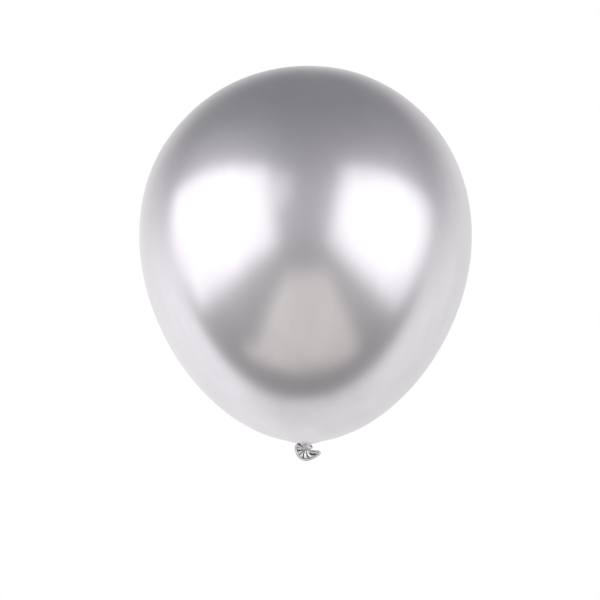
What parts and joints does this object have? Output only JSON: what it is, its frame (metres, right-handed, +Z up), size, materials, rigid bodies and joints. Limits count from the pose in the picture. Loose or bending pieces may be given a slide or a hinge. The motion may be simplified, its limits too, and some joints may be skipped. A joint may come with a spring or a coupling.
{
  "type": "inflated latex balloon",
  "caption": "Inflated silver mirror-finish latex balloon, egg shaped, tied with a knot in its own neck, with a pleated tail and rolled lip.",
  "frame": {"origin": "the waist of the neck, on the balloon's axis, between the gas-filled skin and the knot", "axes": "+Z up along the balloon's axis to its crown, -Y the way the mouth of the tail faces, +X to the right of a viewer who faces the mouth"},
  "size_m": [0.3002, 0.3002, 0.3576],
  "materials": {
    "chrome_latex": "gloss",
    "satin_latex": "satin"
  },
  "bodies": {
    "root": {"envelope": "chrome_latex", "neck": "satin_latex", "knot_loop": "satin_latex", "tail": "satin_latex", "lip": "satin_latex"}
  },
  "joints": []
}
